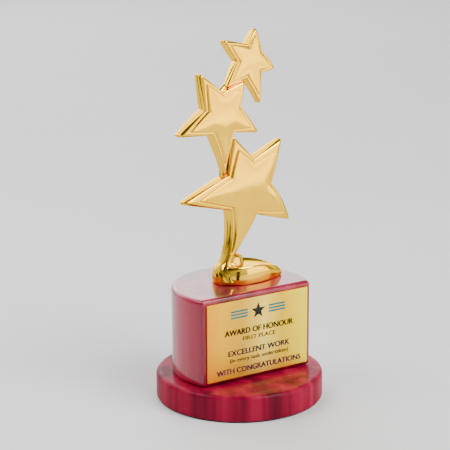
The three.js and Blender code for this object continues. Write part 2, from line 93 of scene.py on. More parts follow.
# Each star in its own frame: x right, z up, y back. Its arms run anticlockwise from the upper right one.
# notch is the radius of its notches and turn the direction of the first one in degrees. yaw turns its right
# side back and lean tips it back, in degrees. draft is how far the wall stands out of the outline, dome the
# rise of the face, tip the radius of the points, and tip_pull how far the face stays short of them.
STARS = {
    "large_star": {
        "centre": (9.7, FIGURE_Y, 126.8), "yaw": 5, "lean": 1.5, "notch": 17.6, "turn": 2.9,
        "arms": [Arm(38.6, 5.9, 0.4, 0, 0), Arm(35.2, -3.8, 0.2, 0.2, 0), Arm(48.6, 0.2, 0.2, 0.2, 0),
                 Arm(51.9, -6.4, -2.1, 0.8, 0), Arm(41.2, -3, 0.2, 1.4, 0)],
        "half_depth": 4.2, "draft": 0.5, "dome": 0.9, "tip": 0.6, "rim_scale": 1, "tip_pull": 6.5,
    },
    "medium_star": {
        "centre": (-7.7, FIGURE_Y, 173.3), "yaw": 3, "lean": 1, "notch": 13, "turn": 17.2,
        "arms": [Arm(25.2, -4.4, 0.3, 0.2, 0), Arm(30.2, -4, 0.1, 0.1, 0), Arm(33.2, -0.5, 0.2, 0.2, 0),
                 Arm(37.6, 1.6, -0.5, -0.3, 0.85), Arm(29.3, -7.7, 0.1, 0.3, 0)],
        "half_depth": 4.2, "draft": 0.5, "dome": 0.85, "tip": 0.6, "rim_scale": 0.85, "tip_pull": 4.5,
    },
    "small_star": {
        "centre": (15.3, FIGURE_Y + 4.5, 202.5), "yaw": 6, "lean": 6, "notch": 10.1, "turn": 29,
        "arms": [Arm(20.6, 8.2, 0.3, 0.2, 0), Arm(24.2, 7.2, 0.2, 0.2, 0), Arm(25.2, 5.6, 0.1, 0.1, 0.5),
                 Arm(27, 0.4, -0.2, 0.1, 0.35), Arm(19.9, -10.5, 0.4, 0.5, 0)],
        "half_depth": 3.2, "draft": 0.4, "dome": 0.7, "tip": 0.7, "rim_scale": 0.7, "tip_pull": 3.0,
    },
}

# ---------------------------------------------------------------- mesh helpers


def in_scene(name, data):
    """A new object with this data, linked into the scene."""
    made = bpy.data.objects.new(name, data)
    bpy.context.scene.collection.objects.link(made)
    return made


def add_object(name, mesh, look, *nodes, slot=None):
    """Puts a finished mesh, in metres, into the scene as a piece that replaces the CAD nodes named."""
    mesh.materials.clear()
    mesh.materials.append(look)
    piece = in_scene(name, mesh)
    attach(piece, BODY)
    if nodes:
        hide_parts(*nodes)
    return piece


def mesh_of(name, points, faces, smooth=True):
    """A mesh from points in millimetres."""
    mesh = bpy.data.meshes.new(name)
    mesh.from_pydata((np.asarray(points, float) * MM).tolist(), [], [list(f) for f in faces])
    mesh.polygons.foreach_set("use_smooth", [smooth] * len(mesh.polygons))
    mesh.update()
    return mesh


def band_faces(first, second, count):
    """Quads between two closed rings of count points that start at these indices."""
    faces = []
    for i in range(count):
        j = (i + 1) % count
        faces.append((first + i, first + j, second + j, second + i))
    return faces


def loft(name, rings):
    """A closed mesh through rings of equally many points, anticlockwise from above and from bottom to top."""
    count = len(rings[0])
    points = np.concatenate([np.asarray(r, float) for r in rings])
    faces = []
    for k in range(len(rings) - 1):
        faces += band_faces(k * count, (k + 1) * count, count)
    faces.append(tuple(range(count))[::-1])
    last = (len(rings) - 1) * count
    faces.append(tuple(range(last, last + count)))
    return mesh_of(name, points, faces)


def smooth_curve(points, steps):
    """Catmull-Rom curve through the rows of points, with that many steps between each two."""
    p = np.asarray(points, float)
    p = np.vstack([2 * p[0] - p[1], p, 2 * p[-1] - p[-2]])
    out = []
    for i in range(1, len(p) - 2):
        for t in np.arange(steps) / steps:
            a, b, c, d = p[i - 1], p[i], p[i + 1], p[i + 2]
            out.append(0.5 * (2 * b + (c - a) * t + (2 * a - 5 * b + 4 * c - d) * t**2
                              + (3 * b - a - 3 * c + d) * t**3))
    out.append(p[-2])
    return np.array(out)


def evaluated_mesh(holder):
    """The mesh that an object comes to with its modifiers worked out, or with its lettering drawn."""
    bpy.context.view_layer.update()
    depsgraph = bpy.context.evaluated_depsgraph_get()
    return bpy.data.meshes.new_from_object(holder.evaluated_get(depsgraph), depsgraph=depsgraph)


def combined(mesh, operation, *others):
    """The mesh joined with, or cut by, other closed meshes."""
    for other in others:
        tool = in_scene("tool", other)
        holder = in_scene("holder", mesh)
        modifier = holder.modifiers.new("boolean", "BOOLEAN")
        modifier.operation = operation
        modifier.object = tool
        modifier.solver = "EXACT"
        mesh = evaluated_mesh(holder)
        bpy.data.objects.remove(holder)
        bpy.data.objects.remove(tool)
    mesh.set_sharp_from_angle(angle=SHARP_ANGLE)
    return mesh


# ---------------------------------------------------------------- stars

EDGE_STEPS = 44  # along each edge of an arm
TIP_STEPS = 8  # round each tip
NOTCH_STEPS = 5  # round each notch
NOTCH_R = 0.35
FINEST_R = 0.1  # the least radius that a tip is drawn with

# The bead along the seam: how far it stands out past the draft, and its distance from the seam.
SEAM_BEAD = [(0.05, 0), (0.02, 0.14), (-0.06, 0.28), (-0.07, 0.5)]
WALL_INSET = 0.15  # from the draft in to the wall's end
EDGE_POINTS = 11  # round the wall's edge
STEP_POINTS = 7  # up the step to the face
STEP_START, STEP_END = 22, 80  # part of a quarter turn that the step takes, in degrees

DOME_GRID = 1.0  # spacing of the points inside a face
DOME_POWER = 0.8  # 1 is a soap film, and 0.5 a fully round pillow
FILM_ROUNDS = 600  # most rounds that the film over a face is worked out in
FILM_ERROR = 1e-14  # what is left of its error when it is done
LEAST_AREA = 1e-9  # keeps a sliver from dividing by 0
FILLED_INSIDE = 1  # the way of filling that keeps only the triangles inside the outline
MERGE_DISTANCE = 1e-6


def right_of(course):
    """The direction to the right of one along the outline, which is outwards."""
    return course * -1j


def crossing(a, u, b, v):
    """Where the lines through a and b, running along u and v, meet."""
    t = ((b - a).conjugate() * v).imag / (u.conjugate() * v).imag
    return a + u * t


def arc(centre, radius, start, sweep, steps):
    """Points along an arc, without its last one."""
    return [centre + cmath.rect(radius, start + sweep * k / steps) for k in range(steps)]


def star_outline(star, out, pull=0):
    """Outline of a star moved outwards by out, anticlockwise, as complex numbers x + iz.

    pull draws the tips in, so that the outline runs further from the star's edge towards each tip.
    """
    arms = star["arms"]
    count = len(arms)
    at = lambda r, degrees: cmath.rect(r, math.radians(degrees))
    notches = [at(star["notch"], star["turn"] + ARM_STEP * i) for i in range(count)]
    tips = [at(arm.reach - pull, star["turn"] + ARM_STEP * (i + 0.5) + arm.lean)
            for i, arm in enumerate(arms)]
    edges = []
    for i, arm in enumerate(arms):
        edges.append((notches[i], tips[i], arm.bow_up))
        edges.append((tips[i], notches[(i + 1) % count], arm.bow_down))
    along = [(end - start) / abs(end - start) for start, end, _ in edges]
    base = [start + right_of(d) * out for (start, _, _), d in zip(edges, along)]
    total = len(edges)
    corner = lambda i, j: crossing(base[i % total], along[i % total], base[j % total], along[j % total])

    def notch_arc(before, after):
        """Fillet where one edge runs into the next: centre, start, turn, and reach from the corner."""
        a, b = along[before % total], along[after % total]
        turn = cmath.phase(b / a)
        reach = NOTCH_R * math.tan(abs(turn) / 2)
        centre = corner(before, after) - a * reach + right_of(a) * NOTCH_R
        return centre, cmath.phase(-right_of(a)), turn, reach

    def bowed(a, b, edge, steps):
        """Points from a towards b along a bowed edge."""
        bow, d = edges[edge][2], along[edge]
        ts = np.arange(steps) / steps
        return list(a + (b - a) * ts + right_of(d) * 4 * bow * ts * (1 - ts))

    outline = []
    for i in range(count):
        up, down = 2 * i, 2 * i + 1
        centre, start, turn, reach = notch_arc(up - 1, up)
        outline += arc(centre, NOTCH_R, start, turn, NOTCH_STEPS)
        leave = corner(up - 1, up) + along[up] * reach
        arrive = corner(down, down + 1) - along[down] * notch_arc(down, down + 1)[-1]
        half = math.acos(max(-1, min(1, -(along[up].conjugate() * along[down]).real))) / 2
        tip_r = max(star["tip"] + out, FINEST_R)
        inward = along[down] - along[up]
        tip_centre = corner(up, down) + inward / abs(inward) * tip_r / math.sin(half)
        touch_up = tip_centre + right_of(along[up]) * tip_r
        touch_down = tip_centre + right_of(along[down]) * tip_r
        outline += bowed(leave, touch_up, up, EDGE_STEPS)
        outline += arc(tip_centre, tip_r, cmath.phase(touch_up - tip_centre), math.pi - 2 * half, TIP_STEPS)
        outline += bowed(touch_down, arrive, down, EDGE_STEPS)
    return np.array(outline)


def tipness(star, flat):
    """The arm that each place is on, and 0 inside the notches, rising smoothly to 1 at the arms' tips."""
    steps = np.mod(np.degrees(np.angle(flat)) - star["turn"], 360) / ARM_STEP
    arm = np.floor(steps).astype(int) % len(star["arms"])
    reach = np.array([a.reach for a in star["arms"]])[arm]
    t = np.clip((np.abs(flat) - star["notch"]) / (reach - star["notch"]), 0, 1)
    return arm, t * t * (3 - 2 * t)


def rim_rings(star):
    """Rings from the seam to the foot of the domed face, each as flat places and depths.

    They make a seam bead, the wall, a rounded edge that widens towards the tips, a flat lip, a quirk and the
    rounded step up to the face.
    """
    s = star["rim_scale"]
    rim, draft, pull = star["half_depth"], star["draft"], star["tip_pull"]
    edge_w, edge_d, tip_d = 0.95 * s, 1.15 * s, 1.9 * s
    lip_w, lip_soft, lip_crown, lip_fall = 0.8 * s, 0.12 * s, 0.01, 0.03
    quirk_w, quirk_d = 0.1 * s, 0.05 * s
    step_w, step_h = 0.8 * s, 1.3 * s
    rings = []

    def ring(out, pull_share, depth, tip_depth=0.0):
        """Adds a ring at that depth, which is less by tip_depth at the tips."""
        flat = star_outline(star, out, pull * pull_share)
        rings.append((flat, depth - tip_depth * tipness(star, flat)[1]))

    for out, depth in SEAM_BEAD:
        ring(draft + out, 0, depth)
    wall_out = draft - WALL_INSET
    for a in np.radians(np.linspace(0, 90, EDGE_POINTS)):
        ring(wall_out - edge_w * (1 - math.cos(a)), 1 - math.cos(a), rim - edge_d * (1 - math.sin(a)),
             tip_d * (1 - math.sin(a)))
    lip_out = wall_out - edge_w
    ring(lip_out - lip_soft, 1, rim + lip_crown)
    lip_out -= lip_w
    ring(lip_out + lip_soft, 1, rim + lip_crown)
    ring(lip_out, 1, rim - lip_fall)
    ring(lip_out - 0.5 * quirk_w, 1, rim - quirk_d)
    lip_out -= quirk_w
    for a in np.radians(np.linspace(STEP_START, STEP_END, STEP_POINTS)):
        ring(lip_out - step_w * (1 - math.cos(a)), 1, rim - quirk_d + (quirk_d + step_h) * math.sin(a))
    return rings


def inside(points, outline):
    """Which points lie inside a closed outline, and how far from it."""
    a, b = outline, np.roll(outline, -1)
    p = points[:, None]
    crosses = (a.imag > p.imag) != (b.imag > p.imag)
    rise = np.where(b.imag == a.imag, 1, b.imag - a.imag)
    x_at = a.real + (p.imag - a.imag) * (b.real - a.real) / rise
    within = (crosses & (p.real < x_at)).sum(1) % 2 == 1
    t = np.clip(((p - a) * (b - a).conj()).real / np.abs(b - a) ** 2, 0, 1)
    return within, np.abs(p - a - t * (b - a)).min(1)


def face_triangles(outline):
    """Points and triangles that fill an outline: the outline's own points first, then an even grid."""
    low_x, high_x = outline.real.min(), outline.real.max()
    low_z, high_z = outline.imag.min(), outline.imag.max()
    row_step = DOME_GRID * math.sqrt(3) / 2
    grid = []
    for row in range(int((high_z - low_z) / row_step) + 2):
        xs = np.arange(low_x + (row % 2) * DOME_GRID / 2, high_x, DOME_GRID)
        grid.append(xs + 1j * (low_z + row * row_step))
    grid = np.concatenate(grid)
    within, distance = inside(grid, outline)
    grid = grid[within & (distance > 0.5 * DOME_GRID)]
    points = np.concatenate([outline, grid])
    ring = list(range(len(outline)))
    corners = [Vector((p.real, p.imag)) for p in points]
    _, _, triangles, sources, *_ = delaunay_2d_cdt(corners, [], [ring], FILLED_INSIDE, MERGE_DISTANCE)
    return points, np.array([[sources[i][0] for i in triangle] for triangle in triangles])


def pillow_heights(points, triangles, fixed_count):
    """Height of a film blown up evenly over the face: 0 on the rim, 1 at its highest."""
    size = len(points)
    load = np.zeros(size)
    first, second, weight = [], [], []
    for turn in range(3):
        a, b, c = np.roll(triangles, turn, axis=1).T
        product = (points[b] - points[a]).conj() * (points[c] - points[a])
        area2 = np.abs(product.imag)
        half_cot = product.real / np.maximum(area2, LEAST_AREA) / 2
        load += np.bincount(a, area2 / 6, size)
        first += [b, c]
        second += [c, b]
        weight += [half_cot, half_cot]
    first, second, weight = map(np.concatenate, (first, second, weight))
    free = np.arange(size) >= fixed_count
    spread = lambda x: np.bincount(first, weight * (x[first] - x[second]), size) * free
    height = np.zeros(size)
    residual = load * free
    step = residual.copy()
    for _ in range(FILM_ROUNDS):
        moved = spread(step)
        before = residual @ residual
        if before < FILM_ERROR:
            break
        share = before / (step @ moved)
        height += share * step
        residual = residual - share * moved
        step = residual + (residual @ residual) / before * step
    return height / height.max()


def back_share(star, flat):
    """Share of its depth that the back half keeps at each point: an arm may thin towards its tip."""
    arm, t = tipness(star, flat)
    return 1 - np.array([a.thinning for a in star["arms"]])[arm] * t


def star_half(star):
    """Flat places, depths and faces of a star's front half, and how many of its first points are the seam."""
    rings = rim_rings(star)
    count = len(rings[0][0])
    outline, rise = rings.pop()
    flat, triangles = face_triangles(outline)
    height = pillow_heights(flat, triangles, count) ** DOME_POWER
    flats = np.concatenate([ring for ring, _ in rings] + [flat])
    depths = np.concatenate([depth for _, depth in rings] + [rise[0] + height * star["dome"]])
    faces = []
    for k in range(len(rings)):
        faces += band_faces(k * count, (k + 1) * count, count)
    start = len(rings) * count
    a, b, c = flat[triangles].T
    anticlockwise = ((b - a).conj() * (c - a)).imag > 0
    for corners, keep in zip((triangles + start).tolist(), anticlockwise):
        faces.append(tuple(corners) if keep else tuple(corners[::-1]))
    return flats, depths, faces, count


def star_piece(name, star, look):
    """One star: the skin of its front and back shells, joined at the seam."""
    flats, depths, faces, seam = star_half(star)
    back_depths = depths * back_share(star, flats)
    size = len(flats)
    front = np.column_stack([flats.real, -depths, flats.imag])
    back = np.column_stack([flats.real, back_depths, flats.imag])[seam:]
    points = np.concatenate([front, back])
    to_back = lambda i: i if i < seam else i + size - seam
    all_faces = faces + [tuple(to_back(i) for i in f)[::-1] for f in faces]
    mesh = mesh_of(name, points, all_faces)
    place = (Matrix.Translation(Vector(star["centre"]) * MM)
             @ Matrix.Rotation(math.radians(star["yaw"]), 4, "Z")
             @ Matrix.Rotation(math.radians(-star["lean"]), 4, "X"))
    mesh.transform(place)
    return add_object(name + "_shell", mesh, look, name + "_front", name + "_back", slot="gilt")


# ---------------------------------------------------------------- foot

FOOT_LENGTH = 45.8
FOOT_HALF_W = 15  # before the taper towards the tip
FOOT_H = 10.3
FOOT_CENTRE = (9.5, 4.7)
FOOT_TURN = -9  # degrees
FOOT_TAPER = 0.65  # 0 is an ellipse, and a larger number a sharper teardrop
FOOT_SWELL, FOOT_DROP = 0.19, 0.84  # shares of its height by which it rises, and falls again at the tip
PEBBLE_TURN, STATION_TURN = 2.0, 5.0  # degrees from point to point round a ring

# The rolled side and dished top: share of the foot's height, and share of its plan.
FOOT_SECTION = [(0, 0.975), (0.04, 0.992), (0.24, 1), (0.52, 0.993), (0.78, 0.96), (0.92, 0.918),
                (0.985, 0.875), (0.975, 0.825), (0.93, 0.74), (0.87, 0.55), (0.85, 0.2)]
SECTION_STEPS = 5

# Oval stations of the bodies that rise out of the foot: height over its underside, centre x and y, half width
# and half depth.
SHOULDER = [(2, 0.5, 11, 9.6, 6.2), (9, 0.6, 11, 9.5, 6.2), (11, 1.2, 11, 8.4, 5.6),
            (13.4, 1.5, 11, 7.3, 4.6), (15.3, 0.4, 11, 5.4, 3.6), (16.6, -0.8, 11, 3.6, 2.6)]
FLARE = [(2, -4.5, 5, 8.2, 9), (6, -5.2, 5, 7.3, 8), (8.5, -6.2, 5.1, 5.9, 6.6),
         (10.5, -6.7, 5.2, 4.3, 5.5), (12.5, -6.5, 5.3, 3.0, 4.8), (15, -5.4, 5.5, 2.6, 4.7),
         (18, -3.8, 5.7, 2.8, 4.8)]
FLARE_SQUARENESS = 0.8  # 1 is an oval, and a smaller number a squarer one
STATION_STEPS = 6


def foot_height(u):
    """Height of the foot's rim, from its round end (u = 0) to its tip (u = 1)."""
    return FOOT_H * (1 + FOOT_SWELL * u - FOOT_DROP * u**4)


def pebble_mesh():
    """The teardrop body: a rolled side and a slightly dished top."""
    angles = np.radians(np.arange(0, 360, PEBBLE_TURN))
    turn = cmath.rect(1, math.radians(FOOT_TURN))
    rings = []
    for up, plan in smooth_curve(FOOT_SECTION, SECTION_STEPS):
        x = FOOT_LENGTH / 2 * plan * np.cos(angles)
        y = FOOT_HALF_W * plan * np.sin(angles) * np.abs(np.sin(angles / 2)) ** FOOT_TAPER
        place = (x + 1j * y) * turn
        z = FOOT_LOW[2] + up * foot_height(0.5 + x / FOOT_LENGTH)
        rings.append(np.column_stack([place.real + FOOT_CENTRE[0], place.imag + FOOT_CENTRE[1], z]))
    return loft("pebble", rings)


def stack_mesh(name, stations, squareness=1.0):
    """A body through oval stations, or through squarer ones if squareness is less than 1."""
    angles = np.radians(np.arange(0, 360, STATION_TURN))
    squared = lambda v: np.sign(v) * np.abs(v) ** squareness
    rings = []
    for up, x, y, half_w, half_d in smooth_curve(stations, STATION_STEPS):
        across = x + half_w * squared(np.cos(angles))
        back = y + half_d * squared(np.sin(angles))
        rings.append(np.column_stack([across, back, np.full(len(angles), FOOT_LOW[2] + up)]))
    return loft(name, rings)


def foot_piece(look):
    """The pebble with the shoulder behind the leg and the flare that runs up round the leg."""
    mesh = combined(pebble_mesh(), "UNION", stack_mesh("flare", FLARE, FLARE_SQUARENESS),
                    stack_mesh("shoulder", SHOULDER))
    return add_object("foot_cast", mesh, look, "foot", slot="gilt")


# ---------------------------------------------------------------- block, plinth and felt

BLOCK_CORNER_R = 1.6  # where the flat front meets the round back
LEAST_CORNER_R = 0.5
BLOCK_ROUND = 2.4
CORNER_STEPS = 7
BACK_STEPS = 120
FRONT_POINTS = 13

PLINTH_LOW_ROUND = 0.4
PLINTH_ROUND = 2.8
DISC_STEPS = 180
ROUND_STEPS = 8
ROUND_MARGIN = 0.3  # from a rounded edge in to the level that keeps the flat side flat
WALL_LEVELS = 6

CLEARANCE = 0.3
WASHER_MARGIN = 2  # from the washer out to its counterbore
CUT_PAST = 1  # how far a cut runs out of the wood
BORE_STEPS = 36
SCREWS = [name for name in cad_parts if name.startswith("plinth_screw")]

FELT_LOW_ROUND, FELT_HIGH_ROUND = 0.2, 0.3
FELT_STEPS = 360
FELT_WANDER = 0.05  # unevenness of the felt's cut edge
FELT_SEED = 7


def arc_points(x, y, z, radius, start, end, steps):
    """Points of a level arc, with both its ends."""
    return [(x + radius * math.cos(a), y + radius * math.sin(a), z)
            for a in np.linspace(start, end, steps + 1)]


def block_ring(inset, z):
    """One level of the block, drawn in by inset: a circle cut by a flat front, with two small corners."""
    radius = (BLOCK_HIGH[0] - BLOCK_LOW[0]) / 2
    arc_y = BLOCK_HIGH[1] - radius
    radius -= inset
    front_y = BLOCK_LOW[1] + inset
    corner_r = max(BLOCK_CORNER_R - inset, LEAST_CORNER_R)
    corner_y = front_y + corner_r
    corner_x = math.sqrt((radius - corner_r) ** 2 - (corner_y - arc_y) ** 2)
    lean = math.atan2(corner_y - arc_y, corner_x)
    right = arc_points(corner_x, corner_y, z, corner_r, -math.pi / 2, lean, CORNER_STEPS)
    back = arc_points(0, arc_y, z, radius, lean, math.pi - lean, BACK_STEPS)[1:-1]
    left = arc_points(-corner_x, corner_y, z, corner_r, math.pi - lean, 1.5 * math.pi, CORNER_STEPS)
    front = [(x, front_y, z) for x in np.linspace(-corner_x, corner_x, FRONT_POINTS)[1:-1]]
    return right + back + left + front


def rounded_levels(low, high, low_round, high_round):
    """(inset, z) up a wall whose lower and upper edges are rounded, with a level just inside each edge."""
    levels = [(low_round + ROUND_MARGIN, low)]
    for a in np.radians(np.linspace(0, 90, ROUND_STEPS + 1)):
        levels.append((low_round * (1 - math.sin(a)), low + low_round * (1 - math.cos(a))))
    levels += [(0, z) for z in np.linspace(low + low_round, high - high_round, WALL_LEVELS)[1:-1]]
    for a in np.radians(np.linspace(0, 90, ROUND_STEPS + 1)):
        levels.append((high_round * (1 - math.cos(a)), high - high_round * (1 - math.sin(a))))
    levels.append((high_round + ROUND_MARGIN, high))
    return levels


def disc_rings(radius, levels, steps):
    """Rings of a round body, one for each (inset, z)."""
    angles = np.arange(steps) * 2 * math.pi / steps
    return [np.column_stack([(radius - inset) * np.cos(angles), (radius - inset) * np.sin(angles),
                             np.full(steps, z)]) for inset, z in levels]


def bored(mesh, cutters):
    """The mesh with upright round holes: (x, y, radius, low z, high z)."""
    tools = []
    for x, y, radius, low, high in cutters:
        rings = disc_rings(radius, [(0, low), (0, high)], BORE_STEPS)
        tools.append(loft("bore", [ring + (x, y, 0) for ring in rings]))
    return combined(mesh, "DIFFERENCE", *tools)


def bore_for(node):
    """An upright clearance bore round a CAD node."""
    low, high = box_mm(node)
    x, y, _ = (low + high) / 2
    return x, y, (high[0] - low[0]) / 2 + CLEARANCE, low[2] - CLEARANCE, high[2] + CLEARANCE


def fastener_bores():
    """Clearance bores for the tie rod, the locating pin and the screws."""
    return [bore_for(name) for name in ["tie_rod", "foot_locating_pin", *sorted(SCREWS)]]


def block_piece(look):
    """The D-shaped block with its bores."""
    levels = rounded_levels(BLOCK_LOW[2], BLOCK_HIGH[2], BLOCK_ROUND, BLOCK_ROUND)
    mesh = loft("block_body", [block_ring(inset, z) for inset, z in levels])
    return add_object("block_body", bored(mesh, fastener_bores()), look, "block", slot="lacquered_wood")


def plinth_piece(look):
    """The round plinth with its bores and the counterbore for the nut and washers."""
    radius = (PLINTH_HIGH[0] - PLINTH_LOW[0]) / 2
    levels = rounded_levels(PLINTH_LOW[2], PLINTH_HIGH[2], PLINTH_LOW_ROUND, PLINTH_ROUND)
    mesh = loft("plinth_disc", disc_rings(radius, levels, DISC_STEPS))
    low, high = box_mm("flat_washer")
    x, y, _ = (low + high) / 2
    bore_r = (high[0] - low[0]) / 2 + WASHER_MARGIN
    counterbore = (x, y, bore_r, PLINTH_LOW[2] - CUT_PAST, high[2] + CLEARANCE)
    mesh = bored(mesh, [counterbore, *fastener_bores()])
    return add_object("plinth_disc", mesh, look, "plinth", slot="lacquered_wood")


def felt_piece(look):
    """A felt disc with a soft, slightly uneven cut edge."""
    radius = (FELT_HIGH[0] - FELT_LOW[0]) / 2
    levels = rounded_levels(FELT_LOW[2], FELT_HIGH[2], FELT_LOW_ROUND, FELT_HIGH_ROUND)
    rings = disc_rings(radius, levels, FELT_STEPS)
    wander = np.random.default_rng(FELT_SEED).normal(0, FELT_WANDER, FELT_STEPS)
    for ring in rings:
        ring[:, :2] *= (1 + np.minimum(wander, 0)[:, None] / radius)
    return add_object("felt_disc", loft("felt_disc", rings), look, "felt_pad", slot="felt")


# ---------------------------------------------------------------- nameplate

PLATE_CORNER_R = 0.5
LEAST_PLATE_R = 0.1
PLATE_EDGE_R = 0.18
PLATE_MARGIN = 0.1  # from the plate's rounded edge in to the level that keeps its face flat
PLATE_ARC_POINTS = 5
PLATE_W = PLATE_HIGH[0] - PLATE_LOW[0]
PLATE_H = PLATE_HIGH[2] - PLATE_LOW[2]
PLATE_FACE_Y = PLATE_LOW[1]

INK_T = 0.04
LETTER_GROWTH = 0.009  # how far the strokes grow outwards, for a letter of size 1
LETTER_DEPTH = 0.02  # only parts a letter's front from its back, and INK_T then sets its thickness
LETTER_CAP = 0.73  # capital height of the built-in font at size 1
LETTER_RESOLUTION = 3
LETTER_COPIES = 3  # the middle one stands in the letter's place

# Places across and down the plate are shares of its width from the middle, and of its height from the top.
# The rest is in millimetres, but for EMBLEM_NOTCH, the radius of the emblem's notches as a share of its own.
EMBLEM_DOWN, EMBLEM_R, EMBLEM_NOTCH = 0.18, 5.2, 0.42
RULE_X, RULE_GAP = 13.5, 1.9
RULE_HALF_W, RULE_HALF_H = 6, 0.55
PRINT_ACROSS = 0.01
# Each line's words, capital height, width, boldness, place down the plate, and ink.
PRINT_LINES = [
    ("AWARD OF HONOUR", 3.7, 49, 0.2, 0.405, "black"),
    ("FIRST PLACE", 2.6, 23.5, 0.08, 0.505, "grey"),
    ("EXCELLENT WORK", 3.5, 44, 0.19, 0.67, "blue"),
    ("(in every task undertaken)", 2.6, 42, 0.08, 0.765, "slate"),
    ("WITH CONGRATULATIONS", 3.5, 60.5, 0.19, 0.9, "purple"),
]


def plate_ring(inset, y):
    """The plate's outline, drawn in by inset, at depth y: a rectangle with small round corners."""
    half_w, half_h = PLATE_W / 2 - inset, PLATE_H / 2 - inset
    radius = max(PLATE_CORNER_R - inset, LEAST_PLATE_R)
    mid_z = (PLATE_LOW[2] + PLATE_HIGH[2]) / 2
    ring = []
    for quarter, (sx, sz) in enumerate([(1, 1), (-1, 1), (-1, -1), (1, -1)]):
        cx, cz = sx * (half_w - radius), mid_z + sz * (half_h - radius)
        for a in np.radians(np.linspace(0, 90, PLATE_ARC_POINTS) + 90 * quarter):
            ring.append((cx + radius * math.cos(a), y, cz + radius * math.sin(a)))
    return ring


def plate_piece(look):
    """The plate, with a rounded front edge and a chamfer behind."""
    levels = [(PLATE_EDGE_R, PLATE_HIGH[1]), (0, PLATE_HIGH[1] - PLATE_EDGE_R)]
    for a in np.radians(np.linspace(0, 90, PLATE_ARC_POINTS)):
        levels.append((PLATE_EDGE_R * (1 - math.cos(a)), PLATE_FACE_Y + PLATE_EDGE_R * (1 - math.sin(a))))
    levels.append((PLATE_EDGE_R + PLATE_MARGIN, PLATE_FACE_Y))
    mesh = loft("nameplate_sheet", [plate_ring(inset, y) for inset, y in levels])
    return add_object("nameplate_sheet", mesh, look, "nameplate", slot="plate")


def from_plate(across, down):
    """A place on the plate's face as x + iz."""
    return complex(across * PLATE_W, PLATE_HIGH[2] - down * PLATE_H)


def text_mesh(words, cap_height, width, boldness, middle):
    """Flat lettering of a given capital height and width, centred on a place of the plate.

    Copies side by side, boldness apart, make its upright strokes heavier.
    """
    curve = bpy.data.curves.new("text", "FONT")
    curve.body = words
    curve.offset = LETTER_GROWTH
    curve.extrude = LETTER_DEPTH
    curve.resolution_u = LETTER_RESOLUTION
    holder = in_scene("text", curve)
    mesh = evaluated_mesh(holder)
    bpy.data.objects.remove(holder)
    co = np.array([v.co for v in mesh.vertices])
    low, high = co.min(0), co.max(0)
    x = (co[:, 0] - (low[0] + high[0]) / 2) * width / (high[0] - low[0]) + middle.real
    z = (co[:, 1] - LETTER_CAP / 2) * cap_height / LETTER_CAP + middle.imag
    y = PLATE_FACE_Y - INK_T * (co[:, 2] > 0)
    mesh.vertices.foreach_set("co", (np.column_stack([x, y, z]) * MM).ravel())
    bold = bmesh.new()
    for _ in range(LETTER_COPIES):
        bold.from_mesh(mesh)
        mesh.transform(Matrix.Translation((boldness * MM, 0, 0)))
    bold.to_mesh(mesh)
    bold.free()
    mesh.transform(Matrix.Translation((-boldness * MM, 0, 0)))
    return mesh


def printed_shapes(name, outlines):
    """Flat printed shapes on the plate's face, each from an anticlockwise outline of x + iz points."""
    points, faces = [], []
    for outline in outlines:
        count, start = len(outline), len(points)
        points += [(p.real, PLATE_FACE_Y, p.imag) for p in outline]
        points += [(p.real, PLATE_FACE_Y - INK_T, p.imag) for p in outline]
        faces += band_faces(start, start + count, count)
        faces.append(tuple(range(start, start + count))[::-1])
        faces.append(tuple(range(start + count, start + 2 * count)))
    return mesh_of(name, points, faces, smooth=False)


def five_point_star(centre, radius, ratio):
    """A star's outline, with its notches at that ratio of its radius."""
    return [centre + cmath.rect(radius * (1 if k % 2 == 0 else ratio), math.radians(90 + 36 * k))
            for k in range(10)]


def bar(centre, half_w, half_h):
    """A rectangle's outline."""
    return [centre + complex(x, z) for x, z in
            [(-half_w, -half_h), (half_w, -half_h), (half_w, half_h), (-half_w, half_h)]]


def print_pieces(inks):
    """A plain star between two groups of rules, and lines of plain award wording."""
    centre = from_plate(0, EMBLEM_DOWN)
    star = five_point_star(centre, EMBLEM_R, EMBLEM_NOTCH)
    add_object("print_emblem", printed_shapes("print_emblem", [star]), inks["black"])
    rules = [bar(centre + side * RULE_X + 1j * dz, RULE_HALF_W, RULE_HALF_H)
             for side in (-1, 1) for dz in (-RULE_GAP, 0, RULE_GAP)]
    add_object("print_rules", printed_shapes("print_rules", rules), inks["teal"])
    for number, (words, cap_height, width, boldness, down, ink) in enumerate(PRINT_LINES, 1):
        mesh = text_mesh(words, cap_height, width, boldness, from_plate(PRINT_ACROSS, down))
        add_object(f"print_line_{number}", mesh, inks[ink])


# ---------------------------------------------------------------- materials

RAMP_MIDDLE = 0.5  # where a ramp's new stop stands until it is placed


